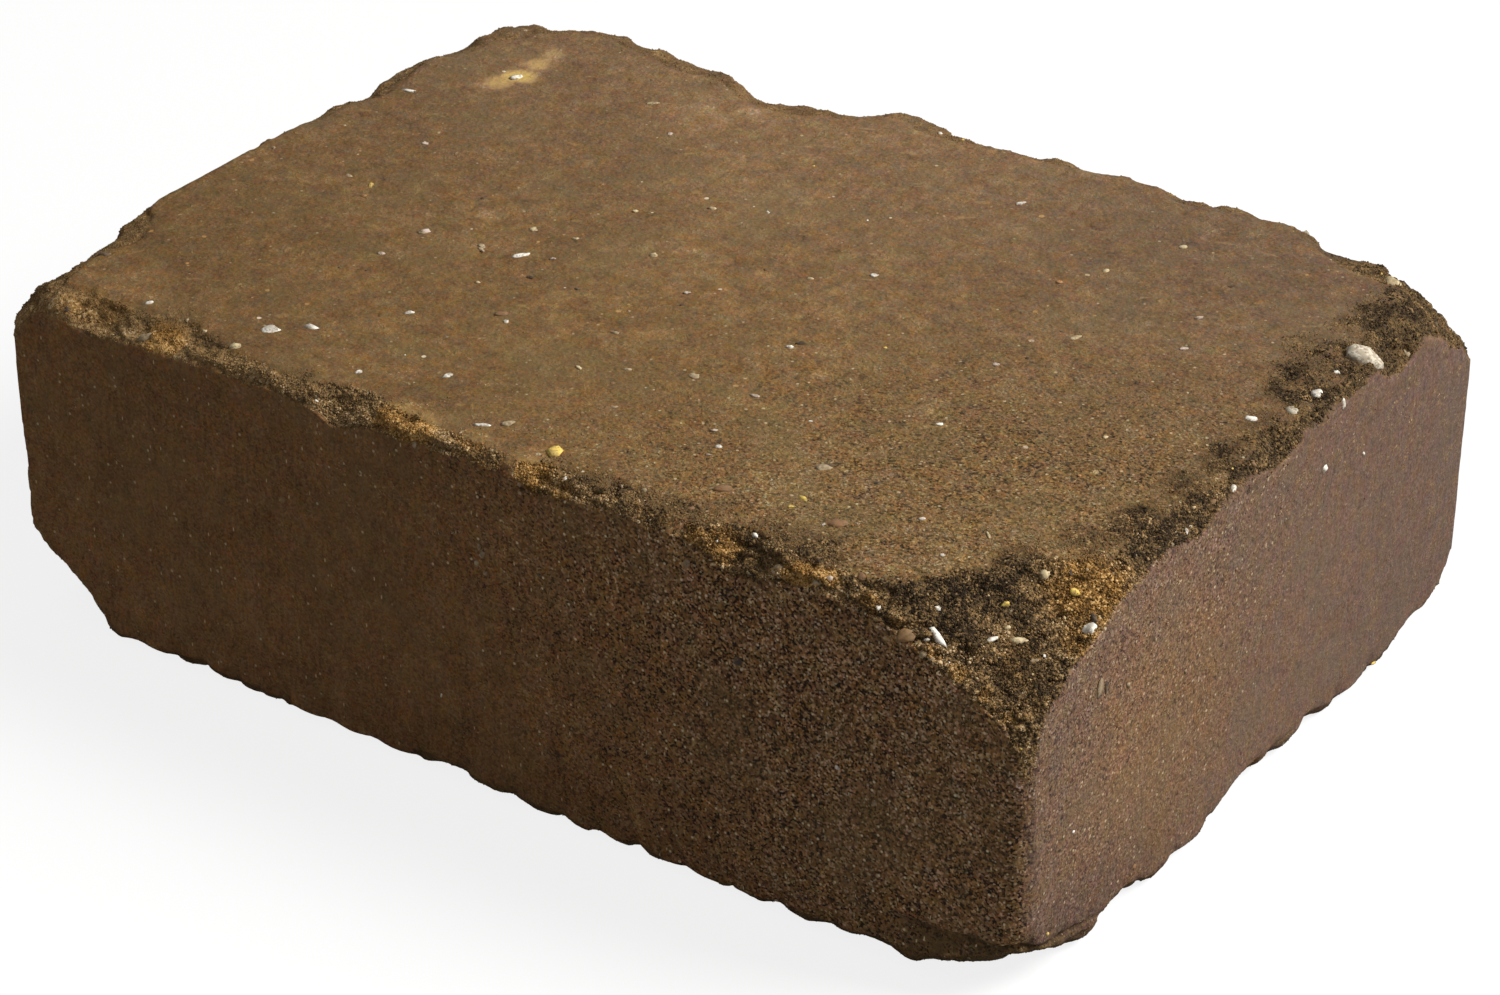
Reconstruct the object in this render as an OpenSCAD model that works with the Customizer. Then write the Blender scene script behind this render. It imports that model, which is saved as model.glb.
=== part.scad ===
// Tumbled retaining wall block: one piece of dense cast concrete.
// The faces are flat and true, and the arrises and corners are knocked off by tumbling.
// The solid is the true block cut down by a worn skin. The skin stands a little proud of the
// flat faces and dips under them along every arris, so each face keeps a flat bed with a
// ragged rim. +X runs along the length, +Y from the front to the back, +Z up.

/* [Block] */
// Length of the long front and back faces
block_length = 280; // [220:5:340]
// Depth from the front face to the back face
block_depth = 200; // [160:5:250]
// Height of one course
block_height = 90; // [75:1:120]

/* [Top arrises] */
// How far ordinary wear comes in over the top bed
top_reach = 13; // [8:0.5:16]
// How far it comes down the upright faces
top_drop = 4.5; // [2:0.5:6]

/* [Bottom arrises] */
// How far ordinary wear comes in under the bottom bed
foot_reach = 6; // [3:0.5:10]
// How far it comes up the upright faces
foot_rise = 4; // [2:0.5:6]

/* [Upright arrises] */
// Rounding of the four upright arrises
upright_reach = 5; // [3:0.5:10]

/* [Crumbling] */
// Depth of the waves along an arris
wave_depth = 1.5; // [0:0.1:2.5]
// Length of the long waves
wave_length = 26; // [15:1:40]
// Depth of the broken grain of an arris
grain_depth = 1; // [0:0.1:1.2]
// Length of one lump of the broken grain
grain_length = 9; // [6:0.5:14]
// Seed of the crumbling: each value is another block of the same batch
wear_seed = 7; // [1:1:99]

/* [Corner breaks, along the length, the depth and the height] */
// Front right top corner, split off
front_right_top = [47, 50, 21]; // [8:1:55]
// Front left top corner
front_left_top = [21, 19, 15]; // [8:1:55]
// Back right top corner
back_right_top = [34, 31, 23]; // [8:1:55]
// Back left top corner
back_left_top = [20, 18, 12]; // [8:1:55]
// Front right bottom corner
front_right_bottom = [32, 33, 15]; // [8:1:55]
// Front left bottom corner, split off
front_left_bottom = [30, 18, 27]; // [8:1:55]
// Back right bottom corner
back_right_bottom = [12, 18, 16]; // [8:1:55]
// Back left bottom corner
back_left_bottom = [14, 16, 12]; // [8:1:55]

/* [Hidden] */

// Wear along each arris, in even steps, where 1 is ordinary wear. An arris is given by the two
// faces that meet in it, as signs along X, Y and Z, with 0 for the direction that it runs in.
wear = [
    [[0, -1, 1], [1.8, 1.5, 0.9, 1, 0.6, 0.7, 0.7, 1.4, 2]],
    [[0, 1, 1], [3, 4.8, 3, 3.9, 3.6, 4.9, 4.4, 1.2, 2.5, 1.8, 1.2, 1, 1.4, 1.1, 3.6, 4.3,
        4]],
    [[-1, 0, 1], [3.2, 2.6, 2.9, 0.2, 0.2, 0.6, 0.5, 1, 1.5, 1.5, 2.6, 2.5, 3.1]],
    [[1, 0, 1], [2, 1.2, 0.8, 0.6, 0.8, 1.6, 2.6]],
    [[0, -1, -1], [1.5, 0.4, 0.6, 0.3, 1, 0.9, 0.7, 0.9, 2.6]],
    [[0, 1, -1], [1.4, 0.8, 1.3, 0.6, 1, 1.4, 0.7, 1.2, 2]],
    [[-1, 0, -1], [1.6, 0.8, 1.2, 0.6, 1.1, 0.8, 1.6]],
    [[1, 0, -1], [3, 2.6, 1.8, 1.7, 0.2, 2, 3, 2.9, 1.5, 0.9, 1.6, 2.2, 3]],
    [[-1, -1, 0], [0.9, 0.4, 0.6, 1]],
    [[1, -1, 0], [1.6, 1.1, 1, 1.2]],
    [[1, 1, 0], [0.9, 0.2, 0.3, 0.9]],
    [[-1, 1, 0], [1.2, 0.8, 0.9, 1.3]],
];

// Chips knocked out of the arrises. Each is its place along the arris from -1 to 1, its depth
// from the sharp arris and its half width.
chips = [
    [[0, 1, 1], [[-0.41, 15, 14], [-0.28, 10, 8], [0.76, 9, 10], [0.94, 9, 12]]],
    [[-1, 0, 1], [[-0.8, 8, 10], [0.3, 5, 7]]],
    [[0, -1, 1], [[-0.8, 7, 9], [-0.28, 6, 8], [0.12, 4.5, 7], [0.49, 7, 11]]],
    [[1, 0, 1], [[-0.32, 5, 8], [0.05, 5, 9], [0.6, 7, 13]]],
    [[0, -1, -1], [[-0.62, 4.5, 7], [-0.47, 4, 6], [-0.1, 4.5, 8], [0.3, 4, 6],
        [0.74, 4, 7]]],
    [[1, 0, -1], [[-0.58, 7.5, 10], [-0.02, 7.5, 12], [0.28, 6, 9], [0.82, 6, 9]]],
    [[-1, 0, -1], [[-0.4, 4.5, 8], [0.2, 4, 7]]],
    [[0, 1, -1], [[-0.6, 4.5, 7], [0.35, 4.5, 8], [0.7, 4, 6]]],
];

// Corner breaks: each corner's signs and its three legs
breaks = [
    [[1, -1, 1], front_right_top],
    [[-1, -1, 1], front_left_top],
    [[1, 1, 1], back_right_top],
    [[-1, 1, 1], back_left_top],
    [[1, -1, -1], front_right_bottom],
    [[-1, -1, -1], front_left_bottom],
    [[1, 1, -1], back_right_bottom],
    [[-1, 1, -1], back_left_bottom],
];

// Half sizes of the true block about its own middle
half = [block_length, block_depth, block_height] / 2;
// How far the skin stands proud of the flat faces
proud = 0.8;
// Half sizes of the sharp box that the skin is worn from
rough_half = half + [proud, proud, proud];
// Points along a length, a depth and a height together, and the spacing that this gives
edge_points = 110;
pitch = 2 * (rough_half.x + rough_half.y + rough_half.z) / edge_points;
// Width of the rim that the wear can reach on a face, and the rows of points across it
most_wear = max([for (arris = wear) max(arris[1])]);
rim = max(28, 1.1 * top_reach * sqrt(most_wear));
rows = [0, 0.07, 0.16, 0.29, 0.46, 0.7, 1] * rim;
// Depth that every arris has lost below its smooth rounding
arris_loss = 0.5;
// Share of the crumbling that roughens a corner break and a chip
break_roughness = 0.8;
chip_roughness = 0.5;

function blend(a, b, t) = a + (b - a) * t;
function ease(t) = t * t * (3 - 2 * t);
function ramp(x, low, high) = ease(max(0, min(1, (x - low) / (high - low))));
function limit(x, most) = max(-most, min(most, x));
function sum(list) = list * [for (x = list) 1];

// Smooth noise from -1 to 1: random values on a lattice of unit cubes, blended in between
lattice_size = 4096;
lattice = rands(-1, 1, lattice_size, wear_seed);
function wrap(i) = (i % lattice_size + lattice_size) % lattice_size;
function knot(i, j, k) = lattice[wrap(i * 73 + j * 179 + k * 283)];
function noise(p) =
    let (i = floor(p.x), j = floor(p.y), k = floor(p.z))
    let (u = ease(p.x - i), v = ease(p.y - j), w = ease(p.z - k))
    let (near = blend(knot(i, j, k), knot(i + 1, j, k), u))
    let (far = blend(knot(i, j + 1, k), knot(i + 1, j + 1, k), u))
    let (near_up = blend(knot(i, j, k + 1), knot(i + 1, j, k + 1), u))
    let (far_up = blend(knot(i, j + 1, k + 1), knot(i + 1, j + 1, k + 1), u))
    blend(blend(near, far, v), blend(near_up, far_up, v), w);

// Depth of the crumbling at a point: long waves, shorter waves and the broken grain
function crumble(p) =
    wave_depth * (noise(p / wave_length) + 0.6 * noise(2.1 * p / wave_length))
    + grain_depth * noise(p / grain_length);

// Wear at a point of the sharp box: that of the arrises, each counted by how near it is
function along(list, place) =
    let (x = (place + 1) / 2 * (len(list) - 1))
    let (i = min(len(list) - 2, floor(x)))
    blend(list[i], list[i + 1], ease(x - i));
function arris_wear(arris, p) =
    along(arris[1], sum([for (i = [0:2]) arris[0][i] == 0 ? p[i] / rough_half[i] : 0]));
function nearness(signs, p) =
    1 / pow(2 + norm([for (i = [0:2]) signs[i] == 0 ? 0 : rough_half[i] - signs[i] * p[i]]), 3);
function wear_at(p) =
    let (weights = [for (arris = wear) nearness(arris[0], p)])
    weights * [for (arris = wear) arris_wear(arris, p)] / sum(weights);

// Reach of the wear along X, Y and Z at a point of the sharp box
function reach(p) =
    let (share = wear_at(p))
    let (drop = share * (p.z > 0 ? top_drop : foot_rise))
    let (edge = sqrt(share) * (p.z > 0 ? top_reach : foot_reach))
    let (level = ramp(abs(p.z), rough_half.z - 2.5 * drop, rough_half.z))
    let (side = blend(share * upright_reach, edge, level))
    [side, side, drop];

// A point of the sharp box drawn in to the rounded and crumbled arris
function rounded(p, lump) =
    let (span = reach(p))
    let (core = [for (i = [0:2]) limit(p[i], rough_half[i] - span[i])])
    let (away = [for (i = [0:2]) (p[i] - core[i]) / span[i]])
    let (aim = away / norm(away))
    let (lean = [for (a = aim) abs(a)])
    let (arris = min(1, (sum(lean) - max(lean)) / 0.35))
    let (out = [for (i = [0:2]) span[i] * aim[i]])
    core + out * (1 - arris * (arris_loss + lump) / norm(out));

// A corner break is a rough plane through the ends of its three legs
function broken(p, lump, i = 0) = i == len(breaks) ? p :
    let (slope = [for (j = [0:2]) breaks[i][0][j] / breaks[i][1][j]])
    let (corner = [for (j = [0:2]) half[j] * breaks[i][0][j]])
    let (level = (slope * corner - 1) / norm(slope) - break_roughness * lump)
    let (over = max(0, p * slope / norm(slope) - level))
    broken(p - over * slope / norm(slope), lump, i + 1);

// A chip is a ball pressed into the arris, so that its sagitta is the chip's depth
function chip_ball(signs, chip) =
    let (radius = (chip[1] * chip[1] + chip[2] * chip[2]) / (2 * chip[1]))
    let (place = [for (i = [0:2]) half[i] * (signs[i] == 0 ? chip[0] : signs[i])])
    [place + signs / norm(signs) * (radius - chip[1]), radius];
balls = [for (arris = chips, chip = arris[1]) chip_ball(arris[0], chip)];
function chipped(p, lump, i = 0) = i == len(balls) ? p :
    let (away = p - balls[i][0])
    let (radius = max(norm(away), balls[i][1] + chip_roughness * lump))
    chipped(balls[i][0] + away / norm(away) * radius, lump, i + 1);

function worn(p) =
    let (lump = crumble(p))
    chipped(broken(rounded(p, lump), lump), lump);

// The skin: on each of the six faces, closed rows of points that step in from the arrises to
// one point in the middle. A face is its two directions, its normal and the normal's sign.
sides = [
    for (axes = [[0, 1, 2], [1, 2, 0], [2, 0, 1]], sign = [1, -1]) [axes, sign],
];
function steps(axis) = round(2 * rough_half[axis] / pitch);
function at(axes, x, y, z) = [for (i = [0:2]) i == axes[0] ? x : i == axes[1] ? y : z];
function row(axes, sign, inset) =
    let (m = steps(axes[0]), n = steps(axes[1]))
    let (x = rough_half[axes[0]] - inset, y = rough_half[axes[1]] - inset)
    let (z = sign * rough_half[axes[2]])
    [
        for (i = [0:m - 1]) at(axes, x * (2 * i / m - 1), -y, z),
        for (i = [0:n - 1]) at(axes, x, y * (2 * i / n - 1), z),
        for (i = [0:m - 1]) at(axes, x * (1 - 2 * i / m), y, z),
        for (i = [0:n - 1]) at(axes, -x, y * (1 - 2 * i / n), z),
    ];
function side_points(side) = [
    for (inset = rows, p = row(side[0], side[1], inset)) worn(p),
    at(side[0], 0, 0, side[1] * rough_half[side[0][2]]),
];
function row_count(side) = 2 * (steps(side[0][0]) + steps(side[0][1]));
function first_point(i) = i == 0 ? 0 : first_point(i - 1) + len(rows) * row_count(sides[i - 1]) + 1;
function facing(face, sign) = sign > 0 ? [face[2], face[1], face[0]] : face;
function side_faces(side, first) =
    let (n = row_count(side), last = first + (len(rows) - 1) * n)
    [
        for (k = [0:len(rows) - 2], i = [0:n - 1])
            let (a = first + k * n + i, b = first + k * n + (i + 1) % n)
            each [facing([a, b, a + n], side[1]), facing([b, b + n, a + n], side[1])],
        for (i = [0:n - 1]) facing([last + i, last + (i + 1) % n, last + n], side[1]),
    ];

module worn_skin() {
    polyhedron(
        points = [for (side = sides) each side_points(side)],
        faces = [for (i = [0:len(sides) - 1]) each side_faces(sides[i], first_point(i))]);
}

module wall_block() {
    color("#6b4f33") translate([0, 0, half.z]) intersection() {
        cube(2 * half, center = true);
        worn_skin();
    }
}

wall_block();
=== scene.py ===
import bpy
import numpy as np
from mathutils import Matrix, Vector


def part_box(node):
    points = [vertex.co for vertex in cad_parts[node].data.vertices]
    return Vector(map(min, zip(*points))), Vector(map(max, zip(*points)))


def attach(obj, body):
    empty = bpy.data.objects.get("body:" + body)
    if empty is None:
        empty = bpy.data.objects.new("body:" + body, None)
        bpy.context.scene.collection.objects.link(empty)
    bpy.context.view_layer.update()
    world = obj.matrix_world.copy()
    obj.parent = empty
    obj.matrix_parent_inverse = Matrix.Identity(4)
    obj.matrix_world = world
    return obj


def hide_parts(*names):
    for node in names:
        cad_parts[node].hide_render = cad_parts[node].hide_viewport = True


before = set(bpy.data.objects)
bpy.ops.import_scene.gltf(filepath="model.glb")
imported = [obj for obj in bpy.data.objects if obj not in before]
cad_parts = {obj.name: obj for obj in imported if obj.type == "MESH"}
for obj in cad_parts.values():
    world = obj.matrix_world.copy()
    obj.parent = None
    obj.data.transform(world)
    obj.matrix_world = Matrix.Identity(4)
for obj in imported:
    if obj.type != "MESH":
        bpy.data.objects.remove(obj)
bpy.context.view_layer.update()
block_low, block_high = (np.array(corner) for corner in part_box("wall_block"))
block_size = block_high - block_low
block_middle = (block_low + block_high) / 2

# ---------------------------------------------------------------------------------------------
# Camera: a long lens above the block's front right corner, held level.
# It aims at the block's middle, a little below it and to its right.

LENS_MM, SENSOR_MM = 98.9, 36.0
CAMERA_AZIMUTH, CAMERA_ELEVATION = np.radians(34.96), np.radians(30.67)
CAMERA_DISTANCE = 0.9765
AIM_RIGHT, AIM_UP = 0.0016, -0.0128


def in_scene(name, data):
    """A new object of the scene that holds a mesh, a lamp or a camera."""
    thing = bpy.data.objects.new(name, data)
    bpy.context.scene.collection.objects.link(thing)
    return thing


camera_back = Vector((np.sin(CAMERA_AZIMUTH) * np.cos(CAMERA_ELEVATION),
                      -np.cos(CAMERA_AZIMUTH) * np.cos(CAMERA_ELEVATION),
                      np.sin(CAMERA_ELEVATION)))
camera_right = Vector((np.cos(CAMERA_AZIMUTH), np.sin(CAMERA_AZIMUTH), 0))
camera_up = camera_back.cross(camera_right)
camera_aim = Vector(block_middle) + AIM_RIGHT * camera_right + AIM_UP * camera_up
camera_turn = Matrix((camera_right, camera_up, camera_back)).transposed().to_4x4()

camera_data = bpy.data.cameras.new("camera")
camera_data.lens = LENS_MM
camera_data.sensor_width = SENSOR_MM
camera_data.sensor_fit = "HORIZONTAL"
camera = in_scene("camera", camera_data)
camera.matrix_world = Matrix.Translation(camera_aim + CAMERA_DISTANCE * camera_back) @ camera_turn
bpy.context.scene.camera = camera

# ---------------------------------------------------------------------------------------------
# Studio: a pale floor, one soft lamp from behind the block's right end, and a pale sky.
# The lamp lights the top and the right end alike and leaves the front in soft shade. The floor
# looks white, keeps the block's shadow, and sends little light back up.

FLOOR_WIDTH = 8.0
WHITE, FLOOR_SHOWN, FLOOR_GIVEN_BACK = (1, 1, 1), (0.19, 0.19, 0.19), (0.26, 0.26, 0.26)
FLOOR_GLOW, SKY_SHOWN, SKY_GIVEN = 0.83, 1.0, 0.24
LAMP_PLACE, LAMP_WIDTH, LAMP_WATTS = Vector((1.32, 0.62, 1.42)), 0.75, 50.0
LAMP_COLOUR = (1.0, 0.99, 0.97)


def empty_tree(owner):
    """The nodes and the links of a material or a sky, with nothing in them yet."""
    owner.use_nodes = True
    owner.node_tree.nodes.clear()
    return owner.node_tree.nodes, owner.node_tree.links


def flat_shader(nodes, kind, colour, strength=None):
    """A diffuse, emission or background node of one colour."""
    node = nodes.new(kind)
    node.inputs["Color"].default_value = (*colour, 1)
    if strength is not None:
        node.inputs["Strength"].default_value = strength
    return node.outputs[0]


def seen_or_not(nodes, links, seen, unseen, output_kind):
    """Ends a node tree with one shader for what is looked at or mirrored, and another for the light
    that the surface sends back."""
    path = nodes.new("ShaderNodeLightPath")
    looked_at = nodes.new("ShaderNodeMath")
    looked_at.operation = "MAXIMUM"
    links.new(path.outputs["Is Camera Ray"], looked_at.inputs[0])
    links.new(path.outputs["Is Glossy Ray"], looked_at.inputs[1])
    mix = nodes.new("ShaderNodeMixShader")
    links.new(looked_at.outputs[0], mix.inputs[0])
    links.new(unseen, mix.inputs[1])
    links.new(seen, mix.inputs[2])
    links.new(mix.outputs[0], nodes.new(output_kind).inputs["Surface"])


floor_material = bpy.data.materials.new("studio_floor")
floor_nodes, floor_links = empty_tree(floor_material)
floor_lit = floor_nodes.new("ShaderNodeAddShader")
floor_links.new(flat_shader(floor_nodes, "ShaderNodeBsdfDiffuse", FLOOR_SHOWN), floor_lit.inputs[0])
floor_links.new(flat_shader(floor_nodes, "ShaderNodeEmission", WHITE, FLOOR_GLOW), floor_lit.inputs[1])
seen_or_not(floor_nodes, floor_links, floor_lit.outputs[0],
            flat_shader(floor_nodes, "ShaderNodeBsdfDiffuse", FLOOR_GIVEN_BACK),
            "ShaderNodeOutputMaterial")

floor_mesh = bpy.data.meshes.new("floor")
floor_corners = FLOOR_WIDTH / 2 * np.array([(-1, -1), (1, -1), (1, 1), (-1, 1)])
floor_mesh.from_pydata([(x, y, block_low[2]) for x, y in floor_corners], [], [(0, 1, 2, 3)])
floor_mesh.materials.append(floor_material)
in_scene("floor", floor_mesh)

world = bpy.data.worlds.new("studio")
bpy.context.scene.world = world
world_nodes, world_links = empty_tree(world)
seen_or_not(world_nodes, world_links,
            flat_shader(world_nodes, "ShaderNodeBackground", WHITE, SKY_SHOWN),
            flat_shader(world_nodes, "ShaderNodeBackground", WHITE, SKY_GIVEN),
            "ShaderNodeOutputWorld")

lamp_data = bpy.data.lights.new("lamp", "AREA")
lamp_data.shape = "SQUARE"
lamp_data.size = LAMP_WIDTH
lamp_data.energy = LAMP_WATTS
lamp_data.color = LAMP_COLOUR
lamp_turn = (Vector(block_middle) - LAMP_PLACE).to_track_quat("-Z", "Y")
in_scene("lamp", lamp_data).matrix_world = (
    Matrix.Translation(LAMP_PLACE) @ lamp_turn.to_matrix().to_4x4())

# ---------------------------------------------------------------------------------------------
# The block: one piece of dense concrete, coloured right through, pressed flat and then tumbled.
# Its skin follows the worn solid and adds the crumbled sand of the arrises, level ledges on the
# broken corners, the pits of the flat faces, and fields that say where it is worn, dark or ochre.

MM = 0.001
SKIN_PITCH = 0.74 * MM
SKIN_TRIANGLES = 196000
ARRIS_ROUND = 9 * MM
# How far below a true face the skin counts as worn, how far below the top bed the upper part is,
# and how far from the front right top corner the scouring reaches.
WORN_START, WORN_FULL = 0.12 * MM, 0.9 * MM
UPPER_START, UPPER_FULL = 40 * MM, 22 * MM
SCOUR_END, SCOUR_FULL = 190 * MM, 30 * MM
# The ledges' height, the scallops' length and the lip's height, then depths in millimetres.
LEDGE_STEP, SCALLOP_LENGTH, LIP_HEIGHT = 2.3 * MM, 12.5 * MM, 16 * MM
SCALLOP_DEPTH, GROOVE_DEPTH, LIP_DEPTH = 1.2, 1.2, 0.6
# Smears and stones lie along this level direction, slantwise over the block.
SLANT = (0.82, 0.57, 0)

# Dark patches on the worn arrises: place as shares of the block's length, depth and height, the
# patch's radius in millimetres, and how dark it is.
DARK_PATCHES = [
    (0.915, 0.065, 0.94, 10, 1.3), (0.868, 0.024, 0.965, 8, 0.85), (0.81, 0.022, 0.96, 7, 0.5),
    (0.755, 0.022, 0.953, 7, 0.45), (0.926, 0.145, 0.99, 7, 0.7), (0.985, 0.07, 0.78, 8, 0.8),
    (0.96, 0.215, 0.985, 8, 0.65), (0.978, 0.285, 0.985, 10, 0.85), (0.98, 0.37, 0.99, 9, 0.8),
    (0.982, 0.45, 0.992, 9, 0.75), (0.98, 0.54, 0.99, 9, 0.7), (0.982, 0.62, 0.99, 11, 0.95),
    (0.97, 0.71, 0.99, 14, 0.9), (0.965, 0.8, 0.989, 10, 0.85), (0.965, 0.87, 0.984, 8, 0.5),
    (0.97, 0.04, 0.85, 9, 0.6), (0.624, 0.026, 0.999, 5, 0.7), (0.56, 0.035, 0.995, 5, 0.4),
    (0.311, 0.03, 0.997, 5, 0.6), (0.215, 0.03, 0.985, 6, 0.5), (0.167, 0.06, 1, 6, 0.4),
    (0.7, 0.035, 0.995, 6, 0.5), (0.267, 0.915, 0.991, 6, 0.6), (0.975, 0.885, 0.985, 9, 0.8),
    (0.594, 0.035, 1, 5, 0.5), (0.64, 0.026, 1, 7, 0.6), (0.675, 0.03, 1, 8, 0.5),
    (0.715, 0.032, 1, 9, 0.45), (0.755, 0.035, 1, 9, 0.55), (0.795, 0.038, 1, 8, 0.7),
    (0.922, 0.078, 0.948, 8, 1.15), (0.936, 0.104, 0.953, 7, 1.1), (0.963, 0.082, 0.898, 6, 0.8),
    (0.989, 0.894, 0.952, 8, 0.7), (0.985, 0.8, 0.97, 8, 0.7), (0.955, 0.845, 0.99, 9, 0.8),
    (0.995, 0.3, 0.965, 6, 0.7), (0.995, 0.39, 0.97, 6, 0.65), (0.997, 0.5, 0.97, 6, 0.7),
    (0.995, 0.6, 0.975, 7, 0.8), (0.995, 0.69, 0.97, 7, 0.75), (0.995, 0.86, 0.95, 8, 0.7),
    (0.97, 0.945, 0.97, 9, 0.8), (0.935, 0.97, 0.985, 8, 0.7), (0.995, 0.94, 0.92, 8, 0.7)]
# Ochre patches, in the same way.
OCHRE_PATCHES = [
    (0.978, 0.165, 0.95, 12, 1.3), (0.995, 0.12, 0.9, 8, 1), (0.96, 0.06, 0.86, 9, 0.7),
    (0.648, 0.353, 1, 3.5, 1), (0.75, 0.357, 1, 4, 0.9), (0.095, 0.061, 0.996, 13, 0.8),
    (0.102, 0.752, 1, 6, 1.5), (0.108, 0.785, 1, 6.5, 2), (0.108, 0.825, 1, 6, 1.5),
    (0.106, 0.86, 1, 4.5, 1.2), (0.404, 0.346, 1, 4, 0.8), (0.492, 0.314, 1, 5, 0.8),
    (0.5, 0.13, 1, 9, 0.5), (0.296, 0.825, 1, 9, 0.7), (0.409, 0.02, 0.99, 7, 1.2),
    (0.435, 0.019, 0.989, 6, 1.2), (0.171, 0.017, 0.969, 7, 1.1), (0.491, 0.025, 0.999, 6, 0.8),
    (0.581, 0, 0.94, 5, 1), (0.702, 0.001, 0.973, 4, 1), (0.546, 0.013, 0.985, 6, 1.1),
    (0.724, 0.02, 0.967, 6, 0.9), (0.8, 0.01, 0.98, 5, 0.9), (0.889, 0.092, 1, 5, 0.6),
    (0.794, 0.006, 0.974, 3.5, 1.3), (0.819, 0.018, 0.988, 3, 1.2), (0.859, 0.007, 0.965, 3, 0.8),
    (0.886, 0.005, 0.936, 3, 0.72), (0.911, 0.009, 0.897, 3, 0.8), (0.935, 0.012, 0.863, 3.5, 0.88),
    (0.958, 0.01, 0.83, 3, 0.8), (0.979, 0.01, 0.799, 3, 0.72), (0.26, 0.443, 1, 5, 0.8),
    (0.428, 0.588, 1, 4, 0.7), (0.515, 0.514, 1, 4, 0.8), (0.633, 0.776, 1, 5, 0.8),
    (0.696, 0.759, 1, 4, 0.8), (0.33, 0.865, 1, 5, 0.8)]


def at_share(shares):
    """The place that lies at some shares of the block's length, depth and height."""
    return block_low + np.array(shares) * block_size


def lattice_noise(points, size, seed, flatten=1.0):
    """Smooth noise from -1 to 1 at each point, with lumps of one size. Each corner of a cubic
    lattice has a random value, hashed from its whole-number place, and the eight corners round a
    point are blended by an eased share of the way between them. flatten presses the lumps into
    layers: it is their height as a share of their width."""
    scaled = points / np.array([size, size, size * flatten]) + seed * 17.31
    cell = np.floor(scaled)
    share = scaled - cell
    share = share * share * (3 - 2 * share)
    cell = cell.astype(np.int64).astype(np.uint32)
    total = np.zeros(len(points))
    for corner in np.ndindex(2, 2, 2):
        x, y, z = (cell[:, k] + np.uint32(corner[k]) for k in range(3))
        mixed = x * np.uint32(374761393) + y * np.uint32(668265263) + z * np.uint32(2147483647)
        mixed = mixed + np.uint32(seed * 974711 + 12345)
        mixed = (mixed ^ (mixed >> np.uint32(13))) * np.uint32(1274126177)
        mixed = (mixed ^ (mixed >> np.uint32(15))) * np.uint32(2246822519)
        mixed = mixed ^ (mixed >> np.uint32(16))
        weight = np.ones(len(points))
        for k in range(3):
            weight *= share[:, k] if corner[k] else 1 - share[:, k]
        total += (mixed / 2147483647.5 - 1) * weight
    return total


def layered_noise(points, size, seed, layers=3, flatten=1.0):
    """Noise from about -1 to 1 with finer layers: each has lumps half as wide and 0.6 as deep."""
    total, depth, depths = 0, 1, 0
    for i in range(layers):
        total = total + depth * lattice_noise(points, size / 2 ** i, seed + i, flatten)
        depths += depth
        depth *= 0.6
    return total / depths * 1.6


def ramp(value, low, high):
    """0 at low and before it, 1 at high and past it, and eased in between. high may be the smaller."""
    share = np.clip((value - low) / (high - low), 0, 1)
    return share * share * (3 - 2 * share)


def rounded_box(size, pitch, radius):
    """Points and four-sided faces of a closed box with rounded arrises, about its own middle.
    Each of the six faces is a grid of two parameters, with the same steps along an arris from both
    sides. A point p of the sharp box goes to c + radius (p - c) / |p - c|, where c is the nearest
    point of the box that is smaller by the radius. Points of shared arrises are joined."""
    half = np.array(size) / 2
    steps = np.round(2 * half / pitch).astype(int)
    points, faces, start = [], [], 0
    for normal in range(3):
        first, second = (normal + 1) % 3, (normal + 2) % 3
        for sign in (-1, 1):
            u, v = np.meshgrid(np.linspace(-half[first], half[first], steps[first] + 1),
                               np.linspace(-half[second], half[second], steps[second] + 1),
                               indexing="ij")
            grid = np.zeros(u.shape + (3,))
            grid[..., first], grid[..., second], grid[..., normal] = u, v, sign * half[normal]
            index = np.arange(u.size).reshape(u.shape) + start
            quads = np.stack([index[:-1, :-1], index[1:, :-1], index[1:, 1:], index[:-1, 1:]], -1)
            points.append(grid.reshape(-1, 3))
            faces.append(quads.reshape(-1, 4)[:, ::sign])
            start += u.size
    points, faces = np.concatenate(points), np.concatenate(faces)
    key = np.round(points / (pitch * 0.01)).astype(np.int64)
    _, kept, joined = np.unique(key @ np.array([1, 2 ** 20, 2 ** 40]), return_index=True,
                                return_inverse=True)
    points, faces = points[kept], joined.reshape(-1)[faces]
    core = np.clip(points, -(half - radius), half - radius)
    away = points - core
    return core + radius * away / np.linalg.norm(away, axis=1, keepdims=True), faces


def new_piece(name, points, faces):
    """A mesh object made from arrays of points and of faces with the same number of sides."""
    mesh = bpy.data.meshes.new(name)
    mesh.vertices.add(len(points))
    mesh.vertices.foreach_set("co", points.astype(np.float32).ravel())
    mesh.loops.add(faces.size)
    mesh.loops.foreach_set("vertex_index", faces.astype(np.int32).ravel())
    mesh.polygons.add(len(faces))
    mesh.polygons.foreach_set("loop_start", np.arange(0, faces.size, faces.shape[1], dtype=np.int32))
    mesh.update(calc_edges=True)
    mesh.validate()
    return in_scene(name, mesh)


def read_points(mesh):
    """The mesh's points as an array."""
    points = np.empty(len(mesh.vertices) * 3, np.float32)
    mesh.vertices.foreach_get("co", points)
    return points.reshape(-1, 3).astype(np.float64)


def read_normals(mesh):
    """The mesh's outward directions at its points, as an array."""
    normals = np.empty(len(mesh.vertices) * 3, np.float32)
    mesh.vertex_normals.foreach_get("vector", normals)
    return normals.reshape(-1, 3).astype(np.float64)


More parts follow.
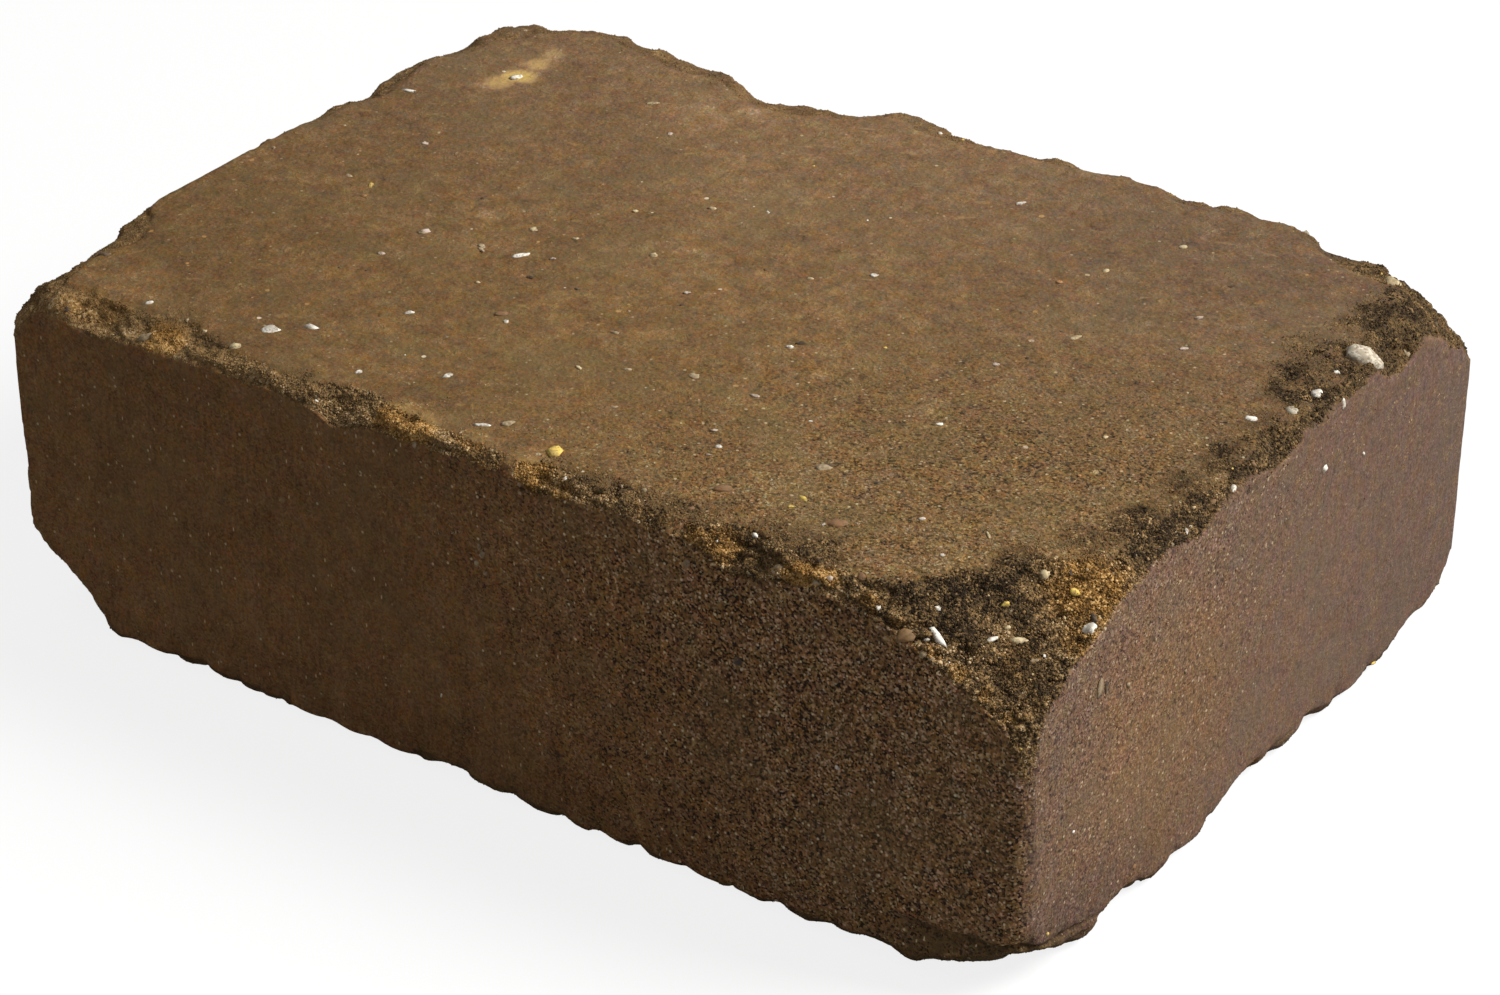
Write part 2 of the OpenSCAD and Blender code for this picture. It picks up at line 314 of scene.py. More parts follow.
def move_points(piece, points):
    """Puts the piece's points in new places."""
    piece.data.vertices.foreach_set("co", points.astype(np.float32).ravel())
    piece.data.update()


def set_field(piece, name, values):
    """Writes one number for each point of the piece, for its material to read."""
    field = piece.data.attributes.new(name, "FLOAT", "POINT")
    field.data.foreach_set("value", values.astype(np.float32))


def finished_by(piece, kind, **settings):
    """Adds a modifier to the piece, and makes the mesh that it gives the piece's own."""
    modifier = piece.modifiers.new(kind.lower(), kind)
    for name, value in settings.items():
        setattr(modifier, name, value)
    graph = bpy.context.evaluated_depsgraph_get()
    mesh = bpy.data.meshes.new_from_object(piece.evaluated_get(graph))
    piece.modifiers.remove(modifier)
    piece.data = mesh


def smoothed(points, faces, share, rounds):
    """Each point moved part of the way to the mean of its neighbours, by its own share."""
    start, end = faces.ravel(), np.roll(faces, -1, axis=1).ravel()
    count = np.bincount(start, minlength=len(points))[:, None]
    for _ in range(rounds):
        mean = np.stack([np.bincount(start, points[end, k], len(points)) for k in range(3)], -1)
        points = points + share[:, None] * (mean / count - points)
    return points


def spread_out(values, faces, rounds):
    """A number at each point, evened out with its neighbours' again and again."""
    start, end = faces.ravel(), np.roll(faces, -1, axis=1).ravel()
    count = np.bincount(start, minlength=len(values))
    for _ in range(rounds):
        values = 0.2 * values + 0.8 * np.bincount(start, values[end], len(values)) / count
    return values


def depth_under_faces(points):
    """How far each point lies inside the box of the true faces, which is 0 on a flat face."""
    return np.minimum(points - block_low, block_high - points).min(axis=1)


def patches(points, places, wobble):
    """A field that is each patch's strength in its middle and fades to 0 past its radius, with
    the distance stretched and squeezed by noise, so that the patches are ragged."""
    field = np.zeros(len(points))
    for *shares, radius, strength in places:
        distance = np.linalg.norm(points - at_share(shares), axis=1) * (1 + 0.5 * wobble)
        field = np.maximum(field, strength * ramp(distance, 1.25 * radius * MM, 0.35 * radius * MM))
    return field


def upper_part(points):
    """1 for points near the top bed and 0 for those well below it."""
    return ramp(points[:, 2], block_high[2] - UPPER_START, block_high[2] - UPPER_FULL)


# The skin starts as a closed rounded box, drawn onto the worn solid and eased where it is worn.
box_points, box_faces = rounded_box(block_size, SKIN_PITCH, ARRIS_ROUND)
skin = new_piece("block_skin", box_points + block_middle, box_faces)
finished_by(skin, "SHRINKWRAP", target=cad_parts["wall_block"], wrap_method="NEAREST_SURFACEPOINT")
skin_points = read_points(skin.data)
worn_share = ramp(depth_under_faces(skin_points), 0, 0.5 * MM)
smoothing_rounds = int(round(8 * (1.0 * MM / SKIN_PITCH) ** 2))
skin_points = smoothed(skin_points, box_faces, 0.5 * worn_share, smoothing_rounds)
move_points(skin, skin_points)
skin_normals = read_normals(skin.data)
x, y, z = skin_points.T
height = z - block_low[2]

# Where it is worn: below the true faces, and in a ragged border round that.
gaps = np.minimum(skin_points - block_low, block_high - skin_points)
sides_gap = gaps[:, :2].min(axis=1)
bared = ramp(gaps.min(axis=1), WORN_START, WORN_FULL)
near_worn = spread_out(bared, box_faces, int(round(2.2 * MM / SKIN_PITCH) ** 2))
front_arris_gap = np.hypot(gaps[:, 1], 1.5 * (block_high[2] - z)) * np.where(y < 0, 1, 9)
foot_gap = np.hypot(1.2 * sides_gap, height)
ragged = near_worn + 0.34 * layered_noise(skin_points, 5 * MM, 3, 3) + 0.35 * (
    ramp(front_arris_gap, 9 * MM, 2 * MM) + ramp(foot_gap, 5 * MM, 1 * MM))
worn = ramp(ragged, 0.32, 0.62)
chipped_off = worn * (1 - bared)

# Which part of the block it is: a side, an end, near the top, near the front and right arrises,
# and how scoured, which is most at the front right top corner.
upright = ramp(np.abs(skin_normals[:, 2]), 0.75, 0.45)
end_face = ramp(np.abs(skin_normals[:, 0]), 0.60, 0.92)
upper = upper_part(skin_points)
harsh = upper * ramp(np.minimum(y - block_low[1], block_high[0] - x), 34 * MM, 22 * MM)
harsh = harsh * (0.45 + 0.55 * ramp(x, -120 * MM, -40 * MM))
scoured = ramp(np.linalg.norm(skin_points - at_share((1, 0, 1)), axis=1), SCOUR_END, SCOUR_FULL)

# Where it is dark, ochre and crumbled.
wobble = layered_noise(skin_points, 10 * MM, 81, 4)
pressed = upright * (1 - worn)
dark = patches(skin_points, DARK_PATCHES, wobble) * (1 - 0.6 * pressed)
right_arris = ramp(x, 122 * MM, 132 * MM) * ramp(y, -66 * MM, -48 * MM)
far_corner = ramp(y, 82 * MM, 92 * MM) * ramp(x, 80 * MM, 112 * MM)
dark = np.maximum(dark, worn * upper * np.maximum(0.55 * right_arris, 0.7 * far_corner))
dark = dark * (0.80 + 0.45 * layered_noise(skin_points, 6 * MM, 85, 3, 0.6))
ochre = patches(skin_points, OCHRE_PATCHES, wobble) * (1 - pressed)
crumbled = np.maximum(worn, ramp(dark + 0.35 * layered_noise(skin_points, 4 * MM, 87, 3), 0.35, 0.9))
# Painted shade: the worn skin of the foot darker towards the ground.
dark = np.maximum(dark, 0.9 * worn * ramp(height, 7 * MM, 2 * MM))

# The relief in millimetres: lumps, level ledges, clods, crumbs, grit and hollows where it is
# crumbled, and a slow swell with a few dimples on the flat faces.
roughness = 0.25 + 0.20 * upper + 0.55 * harsh
lumps = (0.50 + 0.45 * upper * (1 - harsh)) * layered_noise(skin_points, 8 * MM, 11, 2, 0.7)
step = (z + 1.3 * MM * layered_noise(skin_points, 11 * MM, 21, 3)) / LEDGE_STEP % 1
ledges = 0.70 * (ramp(step, 0.0, 0.25) - ramp(step, 0.25, 1.0) - 0.1) * ramp(
    layered_noise(skin_points, 16 * MM, 25, 2), -0.5, 0.3)
clods = 0.95 * np.abs(lattice_noise(skin_points, 5.2 * MM, 31)) - 0.25
crumbs = 0.75 * np.abs(lattice_noise(skin_points, 2.3 * MM, 35, 0.8)) - 0.2
grit = 0.30 * lattice_noise(skin_points, 1.3 * MM, 37)
hollows = -1.1 * ramp(lattice_noise(skin_points, 4.6 * MM, 41), 0.38, 0.75)
broken_relief = lumps + (ledges + clods + crumbs + grit + hollows) * roughness - 0.25 * upper
swell = 0.09 * layered_noise(skin_points, 30 * MM, 51, 3)
dimples = -0.45 * ramp(lattice_noise(skin_points, 3.2 * MM, 61), 0.74, 0.95)
sandy = 0.06 * layered_noise(skin_points, 2.2 * MM, 71, 2)
relief = crumbled * (broken_relief - 0.35 * (1 - worn))
relief = relief + (1 - crumbled) * (swell - 0.16 + dimples + sandy) - 0.45 * chipped_off

# The foot: scallops along its arris, and a lip under a groove at the front right corner.
foot_arris = ramp(height, 9 * MM, 2.5 * MM) * ramp(sides_gap, 6 * MM, 2 * MM)
along_foot = x + 0.8 * y + 6 * MM * lattice_noise(skin_points, 30 * MM, 95)
scallops = 1 - np.abs(np.sin(np.pi * along_foot / SCALLOP_LENGTH)) ** 0.7
leftward, backward = np.abs(skin_points - at_share((1, 0, 0)))[:, :2].T
lip_top = LIP_HEIGHT - 0.12 * leftward - 0.30 * backward + 1.1 * MM * layered_noise(skin_points, 7 * MM, 97)
above_lip = height - lip_top
by_corner = ramp(np.hypot(leftward, backward), 38 * MM, 22 * MM)
groove = by_corner * ramp(np.abs(above_lip), 1.5 * MM, 0.3 * MM)
lip = by_corner * ramp(above_lip, 0.5 * MM, -1 * MM)
relief = relief - SCALLOP_DEPTH * foot_arris * scallops - GROOVE_DEPTH * groove
relief = relief - LIP_DEPTH * lip * ramp(lattice_noise(skin_points, 3.5 * MM, 99), -0.1, 0.6)
# Painted shade in the groove; the lip under it is darker too.
dark = np.maximum(dark, np.maximum(0.75 * groove, 0.42 * lip))
skin_points = skin_points + MM * relief[:, None] * skin_normals
move_points(skin, np.clip(skin_points, block_low, block_high))
x, y, z = skin_points.T

# The fields that the material and the sand read.
calm = 1 - harsh * ramp(x, -110 * MM, -20 * MM) * (0.55 + 0.45 * scoured)
front_gap = y - block_low[1] + 1.5 * MM * layered_noise(skin_points, 8 * MM, 91)
rim = worn * upper * ramp(front_gap, 7 * MM, 2.5 * MM) * (1 - 0.6 * ramp(x, 95 * MM, 115 * MM))
broken = np.maximum(worn * (0.25 + 0.20 * upper + 0.55 * harsh), 0.9 * crumbled * upper * harsh)
broken = np.maximum(broken, 0.5 * lip)
for name, values in (("broken", broken), ("nearness", near_worn * (0.3 + 0.7 * harsh)),
                     ("upright", upright), ("end_face", end_face), ("dark", dark),
                     ("ochre", ochre), ("rim", rim), ("calm", calm), ("scoured", scoured)):
    set_field(skin, name, values)
finished_by(skin, "DECIMATE", ratio=SKIN_TRIANGLES / (2 * len(box_faces)),
            use_collapse_triangulate=True)
skin.data.shade_smooth()


class Recipe:
    """A material's node tree, with one short call for each kind of node."""

    def __init__(self, name):
        self.material = bpy.data.materials.new(name)
        self.nodes, self.links = empty_tree(self.material)
        self.place = self.add("ShaderNodeTexCoord").outputs["Object"]

    def add(self, kind, settings=(), inputs=()):
        """A node of a kind, with its settings, and its inputs as values or as sockets."""
        node = self.nodes.new(kind)
        for name, value in dict(settings).items():
            setattr(node, name, value)
        for name, value in dict(inputs).items():
            if isinstance(value, bpy.types.NodeSocket):
                self.links.new(value, node.inputs[name])
            else:
                node.inputs[name].default_value = value
        return node

    def field(self, name, output="Fac"):
        """The number, or the colour, that the mesh holds under a name."""
        return self.add("ShaderNodeAttribute", {"attribute_name": name}).outputs[output]

    def stretched(self, x, y, z):
        """The place, with each direction drawn out by a factor."""
        return self.add("ShaderNodeMapping", {}, {"Vector": self.place,
                                                  "Scale": (1 / x, 1 / y, 1 / z)}).outputs[0]

    def levelled(self, along, across):
        """The place, drawn out along the slant and across it."""
        return self.add("ShaderNodeMapping", {"vector_type": "TEXTURE"},
                        {"Vector": self.place, "Rotation": (0, 0, np.arctan2(SLANT[1], SLANT[0])),
                         "Scale": (along, across, 1)}).outputs[0]

    def noise(self, size, detail=2.0, rough=0.55, place=None):
        """Cloudy noise about 0.5, with clouds of a size."""
        return self.add("ShaderNodeTexNoise", {}, {"Vector": place or self.place, "Scale": 1 / size,
                                                  "Detail": detail, "Roughness": rough}).outputs["Fac"]

    def cells(self, size, place=None):
        """A random number for each grain of a packed bed, another one, and the distance from the
        grain's middle."""
        node = self.add("ShaderNodeTexVoronoi", {}, {"Vector": place or self.place, "Scale": 1 / size})
        parts = self.add("ShaderNodeSeparateColor", {}, {"Color": node.outputs["Color"]})
        return parts.outputs[0], parts.outputs[1], node.outputs["Distance"]

    def ramp(self, value, low, high, start=0.0, end=1.0):
        """start at low and before it, end at high and past it, and eased in between."""
        return self.add("ShaderNodeMapRange", {"interpolation_type": "SMOOTHSTEP"},
                        {"Value": value, "From Min": low, "From Max": high, "To Min": start,
                         "To Max": end}).outputs["Result"]

    def math(self, operation, *values):
        """Numbers put together by an operation, from left to right."""
        total = values[0]
        for value in values[1:]:
            total = self.add("ShaderNodeMath", {"operation": operation}, {0: total, 1: value}).outputs[0]
        return total

    def plus(self, *values):
        """Numbers added up."""
        return self.math("ADD", *values)

    def times(self, *values):
        """Numbers multiplied."""
        return self.math("MULTIPLY", *values)

    def less(self, *values):
        """What is left of 1 when each number is taken away."""
        return self.math("SUBTRACT", 1.0, *values)

    def about(self, value, weight):
        """A number that varies about 0 instead of a half, with a weight."""
        return self.times(self.math("SUBTRACT", value, 0.5), weight)

    def mix(self, share, first, second, blend="MIX"):
        """One colour turned into another by a share, or blended over it."""
        first, second = ((*side, 1) if isinstance(side, tuple) else side for side in (first, second))
        return self.add("ShaderNodeMix", {"data_type": "RGBA", "blend_type": blend},
                        {0: share, 6: first, 7: second}).outputs[2]

    def tinted(self, colour, share, tint):
        """A colour multiplied by a tint, by a share."""
        return self.mix(share, colour, tint, "MULTIPLY")

    def palette(self, value, stops):
        """A colour looked up along a row of colours."""
        node = self.add("ShaderNodeValToRGB", {}, {"Fac": value})
        row = node.color_ramp.elements
        for i, (at, colour) in enumerate(stops):
            stop = row[i] if i < 2 else row.new(at)
            stop.position = at
            stop.color = (*colour, 1)
        return node.outputs["Color"]

    def finish(self, colour, roughness, gloss, **relief):
        """Ends the tree with a surface of a colour, a roughness and a faint gloss, and with the
        Height, Strength and Distance of the relief that is too fine for the mesh."""
        inputs = {"Base Color": colour, "Roughness": roughness, "Specular IOR Level": gloss}
        if relief:
            inputs["Normal"] = self.add("ShaderNodeBump", {}, relief).outputs["Normal"]
        surface = self.add("ShaderNodeBsdfPrincipled", {}, inputs)
        self.add("ShaderNodeOutputMaterial", {}, {"Surface": surface.outputs[0]})
        return self.material


# Colours of the sand by rank, in pressed and in broken concrete, and of chips by their own rank.
# Each row gives its two ends first.
FACE_SAND = [(0.00, (0.028, 0.020, 0.014)), (1.00, (0.590, 0.445, 0.270)),
             (0.12, (0.083, 0.053, 0.028)), (0.30, (0.149, 0.089, 0.041)),
             (0.50, (0.211, 0.126, 0.054)), (0.70, (0.280, 0.173, 0.075)),
             (0.86, (0.385, 0.252, 0.120))]
BROKEN_SAND = [(0.00, (0.020, 0.013, 0.007)), (1.00, (0.620, 0.460, 0.270)),
               (0.24, (0.048, 0.032, 0.017)), (0.44, (0.108, 0.070, 0.034)),
               (0.60, (0.200, 0.122, 0.052)), (0.76, (0.300, 0.184, 0.078)),
               (0.90, (0.400, 0.258, 0.118))]
CHIP_COLOURS = [(0.0, (0.430, 0.220, 0.080)), (1.0, (0.760, 0.660, 0.480)),
                (0.4, (0.480, 0.340, 0.150)), (0.7, (0.520, 0.400, 0.270))]
WARM_GRAIN, COOL_GRAIN = (1.12, 0.95, 0.80), (0.88, 1.02, 1.14)
OCHRE_STAIN = (1.10, 0.94, 0.64)
DARK_LUMP, RUSTY_LUMP = (0.040, 0.026, 0.015), (0.330, 0.120, 0.040)
# The front's pale lumps are brighter than the others: pale grains, with painted glints of grains catching
# light in the front's shade.
PALE_LUMP_AND_GLINT_FRONT, PALE_LUMP = (0.780, 0.600, 0.350), (0.480, 0.350, 0.170)
OLIVE_CLOUD, TAN_SMEAR = (0.175, 0.128, 0.056), (0.370, 0.235, 0.085)
OCHRE_SAND, YELLOW_OCHRE = (0.440, 0.270, 0.095), (0.640, 0.430, 0.110)
PALE_MOTE, PALE_DASH = (0.86, 0.70, 0.44), (0.80, 0.62, 0.38)
END_CLOUD_MIDDLE = tuple(at_share((1, 0.275, 0.5)))
# Spacing of the fine sand, the coarse sand and the scattered marks, and the depth of the finest relief.
GRAIN, LUMP, CHIP, DASH, MOTE = 0.50 * MM, 1.3 * MM, 6 * MM, 3.2 * MM, 2.2 * MM
BUMP_DEPTH = 0.32 * MM


def concrete_material():
    """Brown concrete. A rank runs through every grain of sand, from dark to light: its own random
    number, moved up and down by clouds. The flat faces and the broken arrises look the rank up in
    two rows of sand colours. Dark patches lower the rank and ochre ones raise it. The ends are
    greyer and streaked upright, and pale chips of shell lie here and there."""
    r = Recipe("cast_concrete")
    broken, upright, end_face = r.field("broken"), r.field("upright"), r.field("end_face")
    dark, ochre, rim, calm = r.field("dark"), r.field("ochre"), r.field("rim"), r.field("calm")
    scoured = r.field("scoured")
    front_face = r.times(upright, r.less(end_face))
    where = r.add("ShaderNodeSeparateXYZ", {}, {"Vector": r.place}).outputs
    grain, hue, _ = r.cells(GRAIN)
    lump, lump_hue, lump_middle = r.cells(LUMP)
    specks = r.noise(1.8 * MM, 4.0, 0.75)
    clumps = r.noise(4.6 * MM, 4.0, 0.65)
    clump_hue = r.add("ShaderNodeSeparateColor", {}, {"Color": clumps.node.outputs["Color"]}).outputs[1]
    clouds = r.noise(40 * MM, 3.0, 0.55)
    streaks = r.noise(0.9 * MM, 2.0, 0.6, r.stretched(1, 1, 5))

    # The rank of the flat faces: fine sand, crisper where the face is scoured, then soft clouds.
    speckled = r.less(r.times(front_face, 0.85), r.times(end_face, 0.3))
    fine = r.plus(r.about(grain, 0.50), r.times(r.about(specks, 0.8), speckled))
    crisp = r.plus(r.ramp(scoured, 0.0, 1.0, 0.52, 1.72),
                   r.times(front_face, r.ramp(scoured, 0.0, 0.35, 0.08, 0.37)),
                   r.times(end_face, r.ramp(scoured, 0.0, 0.5, 0.30, 0.0)))
    fine = r.times(fine, crisp, r.plus(1.0, r.times(end_face, -0.15), r.times(front_face, 0.45)))
    fine = r.math("MINIMUM", fine, r.times(fine, r.less(r.times(front_face, 0.30))))
    fine = r.plus(fine, r.times(r.about(streaks, 0.45), upright, r.ramp(end_face, 0.0, 1.0, 1.0, 0.7)),
                  r.times(front_face, scoured, 0.045))
    coarse = r.plus(r.about(clumps, 1.4), r.about(clouds, 0.50))
    coarse = r.math("MAXIMUM", coarse, r.times(coarse, 0.5))
    coarse = r.times(coarse, r.less(r.times(end_face, 0.65), r.times(front_face, 0.6)))
    front_cloud = r.noise(9 * MM, 4.0, 0.65, r.stretched(1, 1, 2.2))
    coarse = r.plus(coarse, r.times(r.about(front_cloud, 0.55), front_face))
    face_rank = r.plus(0.462, fine, coarse, r.times(ochre, 0.20), r.times(rim, 0.14))
    face_colour = r.palette(face_rank, FACE_SAND)

    # Tints of grains and clumps, olive clouds, and tan smears over the top.
    grain_tint = r.mix(r.times(end_face, 0.75), r.mix(hue, WARM_GRAIN, COOL_GRAIN), WHITE)
    clump_tint = r.mix(r.ramp(clump_hue, 0.30, 0.70), (1.07, 0.96, 0.90), (0.94, 1.03, 1.00))
    yellow_hue = r.ramp(r.noise(5 * MM, 4.0, 0.65), 0.32, 0.68)
    yellow_tint = r.mix(yellow_hue, (0.99, 0.98, 1.14), (1.02, 1.01, 0.86))
    tint_share = r.less(r.times(end_face, 0.2))
    for tint in (grain_tint, clump_tint, yellow_tint):
        face_colour = r.tinted(face_colour, tint_share, tint)
    olive = r.times(r.ramp(r.noise(22 * MM, 3.0, 0.6), 0.45, 0.70), 0.35)
    face_colour = r.mix(olive, face_colour, OLIVE_CLOUD)
    smear = r.ramp(r.noise(4.5 * MM, 3.0, 0.6, r.levelled(2.0, 1.0)), 0.645, 0.69, 0.0, 0.42)
    face_colour = r.mix(r.times(smear, r.less(upright)), face_colour, TAN_SMEAR)

    # Coarser grains of sand that show in the faces, dark, pale or rusty, and ochre patches.
    lump_round = r.times(r.ramp(lump_middle, 0.32, 0.14), r.ramp(scoured, 0.0, 0.7, 0.55, 1.0),
                         r.less(r.times(front_face, 0.35)))
    dark_lump = r.times(r.ramp(lump, 0.88, 0.89), lump_round,
                        r.plus(0.65, r.times(end_face, 0.30), r.times(front_face, -0.35)))
    pale_from = r.plus(0.91, r.times(front_face, 0.05))
    pale_lump = r.times(r.math("GREATER_THAN", lump_hue, pale_from), lump_round,
                        r.ramp(scoured, 0.0, 0.8, 0.45, 0.85))
    rusty_lump = r.times(r.ramp(lump_hue, 0.075, 0.07), lump_round, r.plus(0.75, r.times(end_face, -0.45)))
    ochre_mark = r.ramp(r.plus(ochre, r.about(specks, 1.2)), 1.2, 2.0, 0.0, 0.85)
    # On the front the pale lumps take the brighter colour, which is partly painted glints.
    for share, laid in ((dark_lump, DARK_LUMP), (pale_lump, r.mix(front_face, PALE_LUMP, PALE_LUMP_AND_GLINT_FRONT)),
                        (rusty_lump, RUSTY_LUMP), (r.ramp(ochre, 0.8, 1.5, 0.0, 0.90), OCHRE_SAND),
                        (ochre_mark, YELLOW_OCHRE)):
        face_colour = r.mix(share, face_colour, laid)

    # Slow changes of tint over each face, and painted shade in a thin band just above the ground.
    from_end_middle = r.add("ShaderNodeVectorMath", {"operation": "DISTANCE"},
                            {0: r.place, 1: END_CLOUD_MIDDLE}).outputs["Value"]
    end_cloud = r.ramp(r.plus(from_end_middle, r.about(clouds, 0.06)), 0.045, 0.012)
    to_left, to_right = r.ramp(where["X"], 0.05, -0.13), r.ramp(where["X"], -0.04, 0.10)
    to_back = r.ramp(where["Y"], -0.06, 0.10)
    low_front = r.times(r.ramp(where["Z"], 0.050, 0.010), front_face, to_left)
    low_end = r.times(r.ramp(where["Z"], 0.034, 0.010), end_face, r.ramp(where["Y"], -0.02, -0.08))
    uneven_z = r.plus(where["Z"], r.about(specks, 0.004), r.about(clumps, 0.004))
    for share, tint in (
            (r.times(end_face, 0.85), (0.98, 0.99, 1.45)),
            (end_face, r.mix(end_cloud, (0.93, 0.94, 1.02), (1.10, 1.04, 0.95))),
            (front_face, (1.15, 1.03, 1.07)),
            (to_left, r.mix(front_face, (0.87, 0.86, 0.88), (1.04, 1.04, 1.04))),
            (low_front, (1.20, 1.20, 1.22)),
            (r.times(r.ramp(where["X"], 0.03, 0.09), front_face), (0.95, 0.98, 1.02)),
            (low_end, (0.76, 0.74, 0.80)),
            (r.times(end_face, to_back), (0.85, 0.89, 1.02)),
            (r.times(to_back, r.less(upright)), r.mix(to_right, (1.20, 1.25, 1.52), (0.82, 0.87, 1.21))),
            # Painted shade: the upright faces darker in a thin ragged band a few millimetres above the
            # ground.
            (r.times(r.ramp(uneven_z, 0.0042, 0.0012), upright), (0.56, 0.54, 0.60))):
        face_colour = r.tinted(face_colour, share, tint)

    # The broken arrises, with crumbs, level ledges and dark patches, and their ragged boundary.
    crumbly = r.plus(r.about(grain, 0.9), r.about(specks, 2.0), r.about(clumps, 1.0))
    darkened = r.ramp(r.plus(dark, r.times(crumbly, r.ramp(dark, 0.0, 0.3))), 0.30, 0.80)
    ledges = r.noise(3.0 * MM, 4.0, 0.68, r.stretched(1.7, 1.7, 0.5))
    shift = r.plus(r.times(darkened, -0.20), r.times(ochre, 0.11), r.times(rim, 0.21), r.times(calm, 0.08))
    unrest = r.plus(r.about(grain, 0.75), r.about(specks, 1.0), r.about(ledges, 1.65), r.about(clumps, 0.8))
    unrest = r.times(unrest, r.less(r.times(calm, 0.55)))
    stained = r.ramp(r.plus(ochre, r.times(rim, 0.3)), 0.3, 1.3)
    broken_colour = r.tinted(r.palette(r.plus(0.47, unrest, shift), BROKEN_SAND), stained, OCHRE_STAIN)
    edge = r.plus(r.about(clumps, 1.2), r.about(specks, 2.2), r.about(grain, 0.45))
    broken_share = r.ramp(r.plus(broken, edge), 0.20, 0.75)
    broken_share = r.math("MAXIMUM", broken_share, r.times(darkened, 0.80))
    colour = r.mix(broken_share, face_colour, broken_colour)

    # Chips of shell and flint, small motes, and upright dashes on the sides.
    undarkened = r.less(darkened)
    chip_rank, chip_other, chip_middle = r.cells(CHIP)
    chip_edge = r.math("SUBTRACT", chip_middle, r.times(chip_other, 0.09), r.about(specks, 0.12))
    chip = r.times(r.math("GREATER_THAN", chip_rank, 0.72), r.ramp(chip_edge, 0.05, 0.02),
                   r.plus(0.9, r.times(upright, -0.5)), undarkened)
    # On the front the motes are twice as strong. There they are pale specks that are partly painted glints
    # of grains catching light.
    mote_rank, mote_other, mote_middle = r.cells(MOTE)
    mote = r.times(r.math("GREATER_THAN", mote_rank, r.ramp(scoured, 0.0, 0.9, 0.84, 0.40)),
                   r.ramp(mote_middle, 0.20, 0.11), r.ramp(mote_other, 0.0, 1.0, 0.35, 1.0),
                   r.ramp(front_face, 0.2, 0.9, 0.5, 1.0), r.ramp(scoured, 0.0, 0.4, 0.6, 1.0), undarkened)
    dash_rank, dash_other, dash_middle = r.cells(DASH, r.stretched(0.5, 0.5, 1.4))
    dash = r.times(r.math("GREATER_THAN", dash_rank, r.ramp(scoured, 0.0, 0.7, 0.80, 0.50)),
                   r.ramp(dash_middle, 0.15, 0.08), upright, r.ramp(dash_other, 0.0, 1.0, 0.2, 0.9))
    for share, laid in ((chip, r.palette(r.ramp(chip_rank, 0.72, 1.0), CHIP_COLOURS)),
                        (mote, PALE_MOTE), (dash, PALE_DASH)):
        colour = r.mix(share, colour, laid)

    height = r.plus(r.times(lump_middle, -0.8), r.times(specks, 2.0),
                    r.times(r.plus(clumps, ledges), broken_share, 2.0))
    strength = r.times(r.less(r.times(front_face, 0.6), r.times(end_face, 0.3)),
                       r.ramp(scoured, 0.0, 0.8, 0.6, 1.0))
    return r.finish(colour, 0.95, 0.06, Height=height, Strength=strength, Distance=BUMP_DEPTH)


skin.data.materials.append(concrete_material())
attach(skin, "root")
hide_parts("wall_block")

# ---------------------------------------------------------------------------------------------
# Sand of the worn arrises: the grains that stand out of the concrete where its smooth pressed
# skin has been knocked off. They are angular quartz, stained dark or ochre by their place.

# How many grains the right arris has, which the other places take a share of, and their sizes.
SAND_GRAINS = 24000
SAND_HALF_WIDTH, FOOT_SAND_HALF_WIDTH, FACE_SAND_HALF_WIDTH = 0.22 * MM, 0.17 * MM, 0.17 * MM
SAND_MOTTLE = 0.4 * MM
OCTAHEDRON = np.array([(1, 0, 0), (-1, 0, 0), (0, 1, 0), (0, -1, 0), (0, 0, 1), (0, 0, -1)], float)
OCTAHEDRON_FACES = np.array([(0, 2, 4), (2, 1, 4), (1, 3, 4), (3, 0, 4),
                             (2, 0, 5), (1, 2, 5), (3, 1, 5), (0, 3, 5)])

skin.data.calc_loop_triangles()
skin_triangles = np.empty(len(skin.data.loop_triangles) * 3, np.int32)
skin.data.loop_triangles.foreach_get("vertices", skin_triangles)
skin_triangles = skin_triangles.reshape(-1, 3)
skin_points, skin_normals = read_points(skin.data), read_normals(skin.data)


def get_field(piece, name):
    """Reads the number that each point of the piece has under a name."""
    values = np.empty(len(piece.data.vertices), np.float32)
    piece.data.attributes[name].data.foreach_get("value", values)
    return values.astype(np.float64)


def random_turns(count, dice):
    """Rotation matrices in all directions alike, from unit quaternions of four normal numbers."""
    w, x, y, z = (q := dice.normal(size=(4, count))) / np.linalg.norm(q, axis=0)
    turns = np.array([[1 - 2 * (y * y + z * z), 2 * (x * y - w * z), 2 * (x * z + w * y)],
                      [2 * (x * y + w * z), 1 - 2 * (x * x + z * z), 2 * (y * z - w * x)],
                      [2 * (x * z - w * y), 2 * (y * z + w * x), 1 - 2 * (x * x + y * y)]])
    return turns.transpose(2, 0, 1)


def scattered(weights, count, dice):
    """Random places on the skin: a triangle picked by area and weight, and a point in it. Gives the
    triangle's number, the place and the outward direction for each."""
    corners = skin_points[skin_triangles]
    area = np.linalg.norm(np.cross(corners[:, 1] - corners[:, 0], corners[:, 2] - corners[:, 0]), axis=1)
    chance = area * weights[skin_triangles].mean(axis=1)
    picked = dice.choice(len(area), count, p=chance / chance.sum())
    a, b = dice.random((2, count))
    a, b = np.where(a + b > 1, 1 - a, a), np.where(a + b > 1, 1 - b, b)
    share = np.stack([1 - a - b, a, b], -1)[..., None]
    place = (corners[picked] * share).sum(axis=1)
    outward = (skin_normals[skin_triangles[picked]] * share).sum(axis=1)
    return picked, place, outward / np.linalg.norm(outward, axis=1, keepdims=True)


